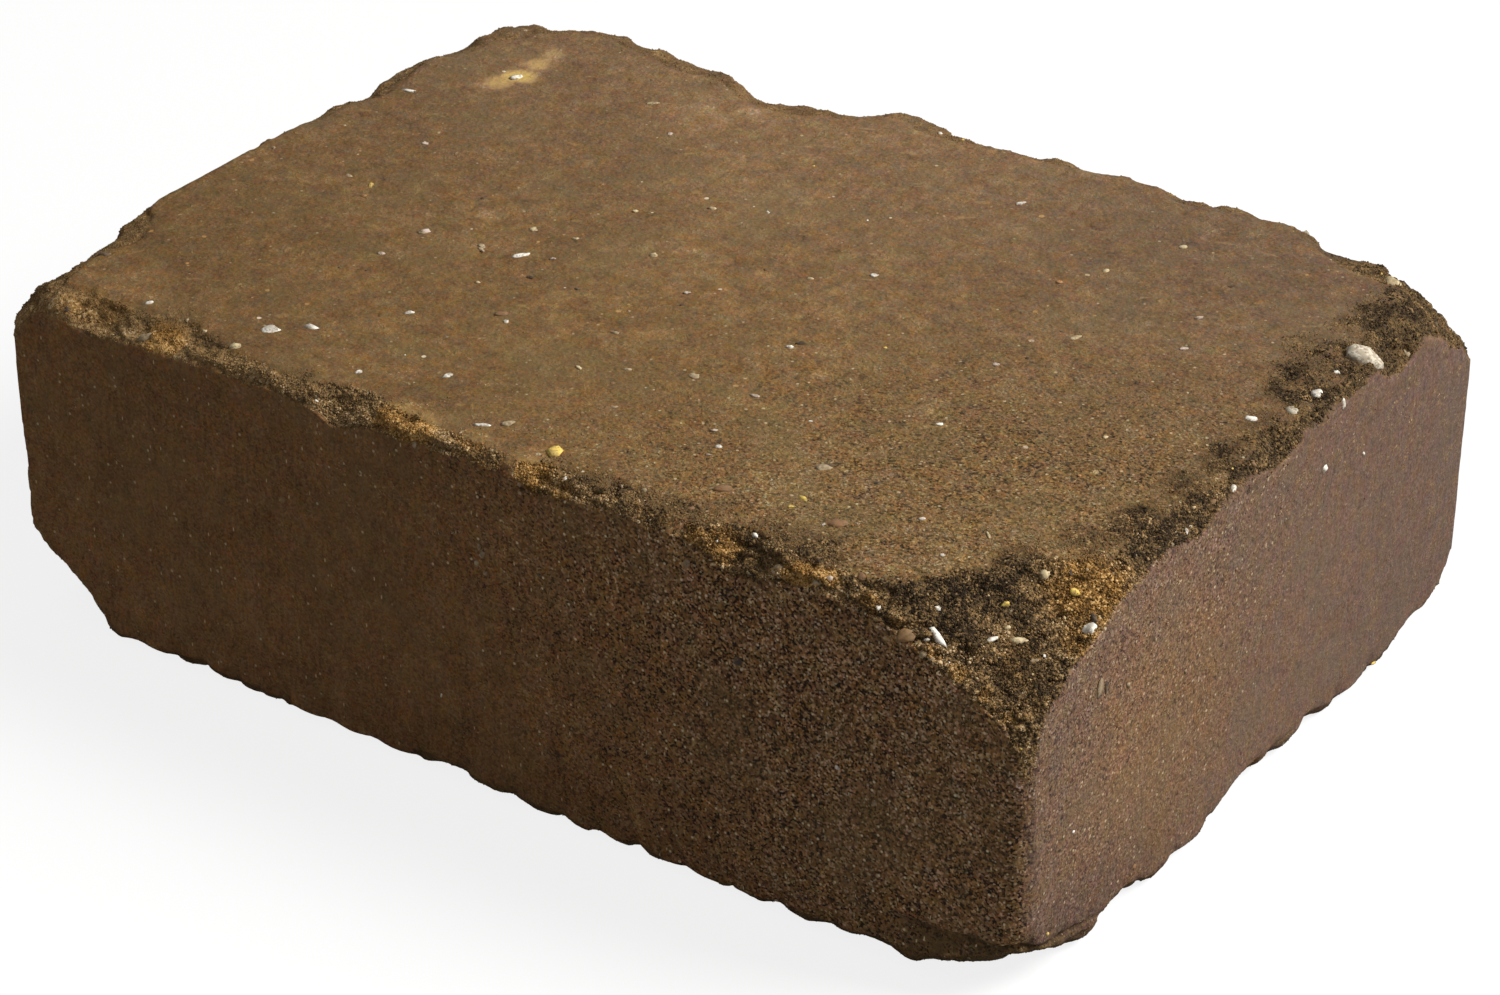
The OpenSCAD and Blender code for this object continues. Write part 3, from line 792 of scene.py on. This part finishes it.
def sand_piece(name, weights, count, half_width, seed):
    """Loose-looking grains half sunk in the skin. Each is an octahedron with uneven corners, turned
    at random. Its rank among the sand colours follows the dark and ochre fields where it lies."""
    dice = np.random.default_rng(seed)
    picked, place, _ = scattered(weights, count, dice)
    here = {field: values[skin_triangles[picked, 0]] for field, values in skin_fields.items()}
    half_width = half_width * np.exp(0.38 * dice.normal(size=count)).clip(0.55, 2.6)
    half_width = half_width * (1 - 0.35 * here["calm"])
    corners = OCTAHEDRON * dice.uniform(0.65, 1.35, (count, 6, 1)) * half_width[:, None, None]
    points = corners @ random_turns(count, dice) + place[:, None]
    points[..., 2] = np.maximum(points[..., 2], block_low[2])
    faces = OCTAHEDRON_FACES + 6 * np.arange(count)[:, None, None]
    piece = new_piece(name, points.reshape(-1, 3), faces.reshape(-1, 3))
    bared = ramp(here["broken"] + 0.7 * here["dark"], 0.2, 0.75)
    stain = -0.26 * here["dark"] + 0.10 * here["ochre"] + 0.16 * here["rim"]
    drift = (0.30 * layered_noise(place, 2.6 * MM, 101, 3, 0.3)
             + 0.22 * layered_noise(place, 9 * MM, 105, 2, 0.5))
    unrest = (drift + 0.20 * dice.normal(size=count)) * (0.5 + 0.5 * bared) * (1 - 0.55 * here["calm"])
    for field, values in (("rank", 0.48 + stain + unrest + 0.06 * here["calm"]), ("bared", bared),
                          ("end_face", here["end_face"]), ("ochre", here["ochre"] + 0.3 * here["rim"]),
                          ("hue", dice.random(count))):
        set_field(piece, field, np.repeat(values, len(OCTAHEDRON)))
    piece.data.materials.append(sand_material())
    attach(piece, "root")


def sand_material():
    """Stained quartz: the grain's rank looked up in the sand colours, a little mottled. Grains of
    the flat faces take the faces' colours and the ends' greyer tint."""
    r = Recipe("arris_sand")
    rank = r.plus(r.field("rank"), r.about(r.noise(SAND_MOTTLE), 0.25))
    face_colour = r.tinted(r.palette(rank, FACE_SAND), 1.0, r.mix(r.field("hue"), WARM_GRAIN, COOL_GRAIN))
    face_colour = r.tinted(face_colour, r.times(r.field("end_face"), 0.85), (0.96, 0.97, 1.50))
    stained = r.ramp(r.field("ochre"), 0.3, 1.3)
    broken_colour = r.tinted(r.palette(rank, BROKEN_SAND), stained, OCHRE_STAIN)
    return r.finish(r.mix(r.field("bared"), face_colour, broken_colour), 0.8, 0.08)


skin_fields = {name: get_field(skin, name) for name in (
    "broken", "nearness", "upright", "end_face", "dark", "ochre", "rim", "calm", "scoured")}
upper = upper_part(skin_points)
rightward = ramp(skin_points[:, 0], 70 * MM, 80 * MM)
frontward = ramp(skin_points[:, 1], -40 * MM, -50 * MM) * (1 - rightward)
broken, upright, end_face = (skin_fields[name] for name in ("broken", "upright", "end_face"))
spill = broken ** 1.5 + 0.10 * skin_fields["nearness"] + 0.7 * ramp(skin_fields["dark"], 0.2, 0.9)
spill = spill * (1 - 0.6 * skin_fields["calm"])
front_face = upright * (1 - end_face)
on_faces = skin_fields["scoured"] * (1 - broken) * (1 - 0.6 * end_face)
sand_piece("sand_top_right", spill * upper * rightward, SAND_GRAINS, SAND_HALF_WIDTH, 5)
sand_piece("sand_top_front", spill * upper * frontward, SAND_GRAINS * 3 // 4, SAND_HALF_WIDTH, 6)
sand_piece("sand_top_back", spill * upper * (1 - rightward) * (1 - frontward), SAND_GRAINS // 4,
           SAND_HALF_WIDTH, 7)
sand_piece("sand_sides_and_foot", broken * (1 - upper), SAND_GRAINS // 6, FOOT_SAND_HALF_WIDTH, 8)
sand_piece("sand_faces", on_faces * (1 - 0.8 * front_face), SAND_GRAINS * 3 // 4, FACE_SAND_HALF_WIDTH, 9)

# ---------------------------------------------------------------------------------------------
# Stones and shells: the coarse pieces in the mix that the wear has laid bare, white and grey
# shell, yellow and orange flint, and umber stones. A few umber lumps close behind other stones
# are painted shade of hollows. Each sits half sunk in the skin.

SHELL, CREAM, GREY = (0.92, 0.88, 0.78), (0.66, 0.54, 0.32), (0.50, 0.45, 0.34)
# UMBER_AND_PAINTED_SHADE is the colour of dark stones, and also of lumps that are painted shade beside
# stones.
YELLOW, ORANGE, UMBER_AND_PAINTED_SHADE = (0.84, 0.60, 0.14), (0.27, 0.155, 0.070), (0.055, 0.040, 0.030)
PALE_BROWN, ROSE, TAN = (0.36, 0.27, 0.17), (0.62, 0.50, 0.42), (0.45, 0.35, 0.22)
RED_BROWN, RUST, BONE = (0.26, 0.135, 0.065), (0.50, 0.24, 0.09), (0.70, 0.63, 0.50)
# Each stone: its place as shares of the block's length, depth and height, its length, width and
# height in millimetres, how far its length is turned from level, and its colour.
STONES = [
    (0.891, 0.004, 0.924, 4.4, 3.2, 1.3, 0, ORANGE), (0.91, 0.023, 0.917, 5.2, 2.2, 1.8, -50, SHELL),
    (0.905, 0.016, 0.912, 1.4, 1, 0.9, 10, SHELL), (0.992, 0.132, 0.904, 3.4, 3, 2.4, 60, SHELL),
    (0.941, 0.058, 0.905, 3.2, 1.2, 1.2, 35, SHELL), (0.956, 0.076, 0.902, 4, 1.6, 1.2, 5, CREAM),
    (0.944, 0.149, 0.978, 2.6, 2.2, 2, 30, CREAM), (0.983, 0.748, 0.99, 8.8, 6.8, 4.2, -8, BONE),
    (0.979, 0.688, 0.997, 2.2, 1.6, 1.4, 60, SHELL), (0.982, 0.638, 0.992, 3, 2.4, 1.8, 20, SHELL),
    (1, 0.658, 0.957, 2.8, 1.2, 1, 80, SHELL), (0.981, 0.585, 0.998, 3.6, 2.8, 2.2, 40, GREY),
    (0.998, 0.415, 0.973, 2.6, 1.6, 1.2, 50, SHELL), (0.995, 0.321, 0.963, 2.2, 1.4, 1.2, 70, SHELL),
    (0.238, 0.041, 0.996, 3.6, 2.8, 1.6, 15, CREAM), (0.839, 1, 0.978, 4, 3.2, 3, 0, GREY),
    (0.937, 0.946, 0.974, 5, 4, 3.4, 0, CREAM), (0.834, 0, 0.507, 1.3, 1.1, 0.8, 0, SHELL),
    # The umber spindle beside the pale mark on the end is painted shade of the gap beside it.
    (1, 0.14, 0.742, 4.8, 2.2, 0.7, 88, PALE_BROWN), (1, 0.154, 0.735, 3.6, 1, 0.5, 88, UMBER_AND_PAINTED_SHADE),
    (0.13, 0.06, 0.995, 2.2, 1.2, 1, 20, SHELL), (0.2, 0.045, 0.99, 2, 1.5, 1, 0, CREAM),
    (0.5, 0, 0.74, 2, 1.2, 0.8, 80, PALE_BROWN), (0.503, 0, 0.712, 1.8, 1.4, 0.8, 60, PALE_BROWN),
    (0.497, 0, 0.69, 1.6, 1.2, 0.8, 90, TAN), (0.505, 0, 0.668, 1.8, 1.1, 0.8, 70, PALE_BROWN),
    (0.15, 0.01, 0.975, 5, 2.6, 2, 10, TAN), (0.742, 0.037, 0.99, 1.9, 1.1, 0.9, -40, SHELL),
    (0.775, 0.009, 0.969, 2.5, 1.8, 1.4, 0, TAN), (0.82, 0.015, 0.985, 2.2, 1.4, 1.2, 0, ROSE),
    (0.866, 0.007, 0.962, 1.5, 1.2, 1, 80, SHELL), (0.944, 0.08, 0.915, 1.8, 1, 0.9, 10, CREAM),
    (0.698, 0, 0.902, 2.2, 1.6, 0.6, 80, PALE_BROWN)]
# The same for the flat top: shares of length and depth, length and width, turn and colour.
TOP_STONES = [
    (0.96, 0.541, 3, 1.8, -10, SHELL), (0.551, 0.053, 4.4, 4, 25, YELLOW),
    (0.327, 0.392, 5.2, 1.9, 25, SHELL), (0.418, 0.481, 2.4, 2, 0, CREAM),
    (0.404, 0.115, 2.8, 1.6, 35, SHELL), (0.243, 0.084, 4.6, 3.2, 30, SHELL),
    (0.477, 0.05, 4.2, 1.2, -5, SHELL), (0.604, 0.39, 1.9, 1.5, 0, SHELL),
    # The umber lump just behind the shell before it is painted shade of a hollow.
    (0.608, 0.4, 3, 1.2, 0, UMBER_AND_PAINTED_SHADE), (0.646, 0.159, 1.8, 1.2, 0, SHELL),
    (0.046, 0.67, 4.6, 1.5, -20, SHELL), (0.49, 0.07, 3.4, 2, 15, TAN), (0.23, 0.303, 2, 1.2, -5, ROSE),
    (0.234, 0.373, 2.7, 1.2, 0, TAN), (0.314, 0.209, 2.4, 1.5, 10, SHELL),
    (0.389, 0.254, 1.5, 1.3, 0, SHELL), (0.379, 0.264, 3.4, 2, 0, RED_BROWN),
    (0.345, 0.065, 1.7, 1.4, 20, SHELL), (0.484, 0.216, 2, 1, -60, CREAM),
    (0.346, 0.463, 1.5, 1, -10, CREAM), (0.309, 0.453, 1.6, 1.2, 0, CREAM),
    (0.292, 0.382, 3, 1.1, -55, TAN), (0.355, 0.407, 1.7, 1.2, 0, ROSE),
    # The umber lump at 0.402 along, just behind an ochre patch, is painted shade of a hollow.
    (0.354, 0.354, 1.4, 1.1, 0, UMBER_AND_PAINTED_SHADE), (0.402, 0.359, 1.4, 1, 0, UMBER_AND_PAINTED_SHADE),
    (0.566, 0.273, 3, 2.2, -10, TAN), (0.471, 0.305, 2.2, 1.2, -20, TAN),
    (0.358, 0.561, 1.7, 1.2, 0, CREAM), (0.48, 0.426, 1.9, 1.1, 0, ROSE),
    (0.647, 0.139, 1.2, 0.8, 0, ROSE), (0.629, 0.19, 1.8, 0.9, 0, ROSE), (0.768, 0.337, 2, 1, 8, SHELL),
    # The umber lump just behind the tan pebble is that pebble's painted shadow.
    (0.731, 0.182, 4.4, 2.6, 0, TAN), (0.733, 0.194, 4.2, 1, 0, UMBER_AND_PAINTED_SHADE),
    (0.833, 0.161, 1.6, 1, 5, SHELL), (0.783, 0.102, 5, 3, 0, RED_BROWN),
    (0.776, 0.09, 1.3, 1, 30, SHELL), (0.873, 0.112, 1.2, 0.9, 30, SHELL),
    (0.887, 0.172, 3.2, 0.7, -80, CREAM), (0.743, 0.103, 1.4, 0.8, 0, YELLOW),
    (0.685, 0.089, 4.8, 2.6, 0, RED_BROWN), (0.108, 0.78, 3.6, 2.2, 25, SHELL),
    (0.127, 0.565, 1.8, 1.4, 10, ROSE), (0.15, 0.403, 1.4, 1.3, 0, RUST),
    (0.234, 0.376, 3, 1.6, 5, ROSE), (0.29, 0.386, 2.4, 1.5, -50, TAN),
    (0.308, 0.455, 1.8, 1.6, 0, CREAM), (0.355, 0.355, 1.6, 1.4, 0, UMBER_AND_PAINTED_SHADE),
    (0.329, 0.311, 1.3, 1.1, 0, CREAM), (0.407, 0.619, 2.2, 1.4, 0, CREAM),
    (0.293, 0.752, 1.7, 1.3, 0, ROSE), (0.241, 0.814, 3, 1.4, 0, CREAM),
    (0.548, 0.537, 1.8, 1.3, 0, CREAM), (0.589, 0.587, 2, 1.2, 0, SHELL),
    (0.625, 0.275, 2.6, 1.2, -20, ROSE),
    (0.753, 0.487, 1.6, 1.1, 0, ROSE), (0.779, 0.589, 3, 1.8, 30, CREAM),
    (0.72, 0.696, 1.7, 1.3, 0, RUST), (0.742, 0.748, 1.8, 1.6, 0, CREAM),
    (0.616, 0.843, 3, 1.4, 15, SHELL), (0.776, 0.856, 2.4, 2, 0, CREAM),
    (0.843, 0.713, 2.2, 1.4, 20, ROSE), (0.862, 0.636, 2.4, 1.2, 20, ROSE),
    (0.898, 0.331, 1, 0.9, 0, RUST), (0.885, 0.411, 1.2, 1, 0, CREAM)]
SMALL_STONES, SMALL_COLOURS = 240, (SHELL, TAN, PALE_BROWN, YELLOW, ORANGE, UMBER_AND_PAINTED_SHADE, UMBER_AND_PAINTED_SHADE, RED_BROWN)
STONE_ROUND, STONE_RINGS = 8, 4
# How many points of the skin make a stone's bed, how far the bed is raised, how deep a stone sits
# in it as a share of its height, and the small stones' usual size.
STONE_BED_POINTS, STONE_BED_RAISED, STONE_SUNK = 24, 0.2 * MM, 0.18
SMALL_STONE_SIZE, STONE_BUMP_DEPTH = 0.9 * MM, 0.2 * MM
SAND_DUST, DARK_GRIT = (0.22, 0.15, 0.08), (0.13, 0.08, 0.04)


def stone_shapes(sizes, dice):
    """Angular, dented lumps, one for each row of length, width and height. A point at angle u round
    the lump and v from pole to pole stands on the ellipsoid, times 1 plus a random share of each
    of a few slow waves over u and v and a small random step of its own."""
    u, v = np.meshgrid(np.arange(STONE_ROUND) * 2 * np.pi / STONE_ROUND,
                       np.arange(1, STONE_RINGS + 1) * np.pi / (STONE_RINGS + 1))
    unit = np.stack([np.sin(v) * np.cos(u), np.sin(v) * np.sin(u), np.cos(v)], -1).reshape(-1, 3)
    unit = np.concatenate([unit, [(0, 0, 1), (0, 0, -1)]])
    waves = dice.normal(size=(len(sizes), 5, 3)) * 2.2
    dents = np.cos(unit @ waves.transpose(0, 2, 1) + dice.uniform(0, 6, (len(sizes), 1, 5))).mean(axis=2)
    knocks = dice.uniform(-0.2, 0.2, dents.shape)
    return unit * (1 + (0.48 * dents + knocks)[..., None]) * np.array(sizes)[:, None] / 2


def stone_faces(count):
    """Triangles that close the rings of each lump, pole to pole, facing outwards."""
    ring = np.arange(STONE_ROUND)
    after = (ring + 1) % STONE_ROUND
    rows = np.arange(STONE_RINGS - 1)[:, None] * STONE_ROUND
    a, b, c, d = rows + ring, rows + after, rows + STONE_ROUND + after, rows + STONE_ROUND + ring
    top = np.full(STONE_ROUND, STONE_ROUND * STONE_RINGS)
    foot, last = top + 1, (STONE_RINGS - 1) * STONE_ROUND
    faces = np.concatenate([
        np.stack([a, d, c], -1).reshape(-1, 3), np.stack([a, c, b], -1).reshape(-1, 3),
        np.stack([top, ring, after], -1), np.stack([foot, last + after, last + ring], -1)])
    return (faces + (STONE_ROUND * STONE_RINGS + 2) * np.arange(count)[:, None, None]).reshape(-1, 3)


def stone_material():
    """Worn shell and flint, and the umber lumps of painted shade: each one's own colour, clouded and dusted
    with sand in its dents.
    """
    r = Recipe("exposed_stone")
    cloud = r.noise(1.6 * MM, 3.0, 0.6)
    colour = r.mix(r.ramp(cloud, 0.42, 0.60, 0.0, 0.55), r.field("tint", "Color"), SAND_DUST)
    colour = r.mix(r.ramp(r.cells(GRAIN)[0], 0.72, 0.80, 0.0, 0.45), colour, DARK_GRIT)
    return r.finish(colour, 0.7, 0.15, Height=cloud, Strength=0.6, Distance=STONE_BUMP_DEPTH)


def stone_piece(name, places, outward, sizes, turns, colours, dice):
    """Angular stones seated on the skin. A stone lies along the slant laid flat on the skin, then
    turned by its own angle."""
    level = np.array(SLANT) - outward * (outward @ np.array(SLANT))[:, None]
    level = level / np.linalg.norm(level, axis=1, keepdims=True)
    across = np.cross(outward, level)
    turns = np.radians(turns)[:, None]
    along = level * np.cos(turns) + across * np.sin(turns)
    axes = np.stack([along, np.cross(outward, along), outward], axis=1)
    sizes = np.array(sizes)
    seats = places - outward * (STONE_SUNK * sizes[:, 2])[:, None]
    points = stone_shapes(sizes, dice) @ axes + seats[:, None]
    points[..., 2] = np.maximum(points[..., 2], block_low[2])
    piece = new_piece(name, points.reshape(-1, 3), stone_faces(len(sizes)))
    tint = piece.data.attributes.new("tint", "FLOAT_COLOR", "POINT")
    shown = np.concatenate([np.array(colours), np.ones((len(sizes), 1))], axis=1)
    tint.data.foreach_set("color", np.repeat(shown, points.shape[1], axis=0).astype(np.float32).ravel())
    piece.data.materials.append(stone_material())
    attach(piece, "root")


stone_dice = np.random.default_rng(11)
stones = STONES + [(x, y, 1, length, width, 0.5 * width, turn, colour)
                   for x, y, length, width, turn, colour in TOP_STONES]
nearest = [np.argsort(((skin_points - at_share(stone[:3])) ** 2).sum(axis=1))[:STONE_BED_POINTS]
           for stone in stones]
bed_places = np.array([skin_points[near].mean(axis=0) for near in nearest])
bed_outward = np.array([skin_normals[near].mean(axis=0) for near in nearest])
bed_outward /= np.linalg.norm(bed_outward, axis=1, keepdims=True)
bed_places += bed_outward * STONE_BED_RAISED
stone_piece("exposed_stones_and_painted_shade", bed_places, bed_outward,
            np.array([stone[3:6] for stone in stones]) * MM, [stone[6] for stone in stones],
            [stone[7] for stone in stones], stone_dice)

small_size = SMALL_STONE_SIZE * np.exp(0.35 * stone_dice.normal(size=SMALL_STONES))[:, None]
small_weights = 0.12 - 0.08 * upright + spill * (0.4 + upper)
_, small_places, small_outward = scattered(small_weights, SMALL_STONES, stone_dice)
stone_piece("small_stones", small_places, small_outward,
            small_size * stone_dice.uniform((0.9, 0.7, 0.6), (1.8, 1.1, 0.9), (SMALL_STONES, 3)),
            stone_dice.uniform(0, 180, SMALL_STONES),
            np.array(SMALL_COLOURS)[stone_dice.integers(0, len(SMALL_COLOURS), SMALL_STONES)], stone_dice)

# ---------------------------------------------------------------------------------------------
# The finished block: its colours are shown as they are.

bpy.context.scene.view_settings.view_transform = "Standard"
bpy.context.view_layer.update()
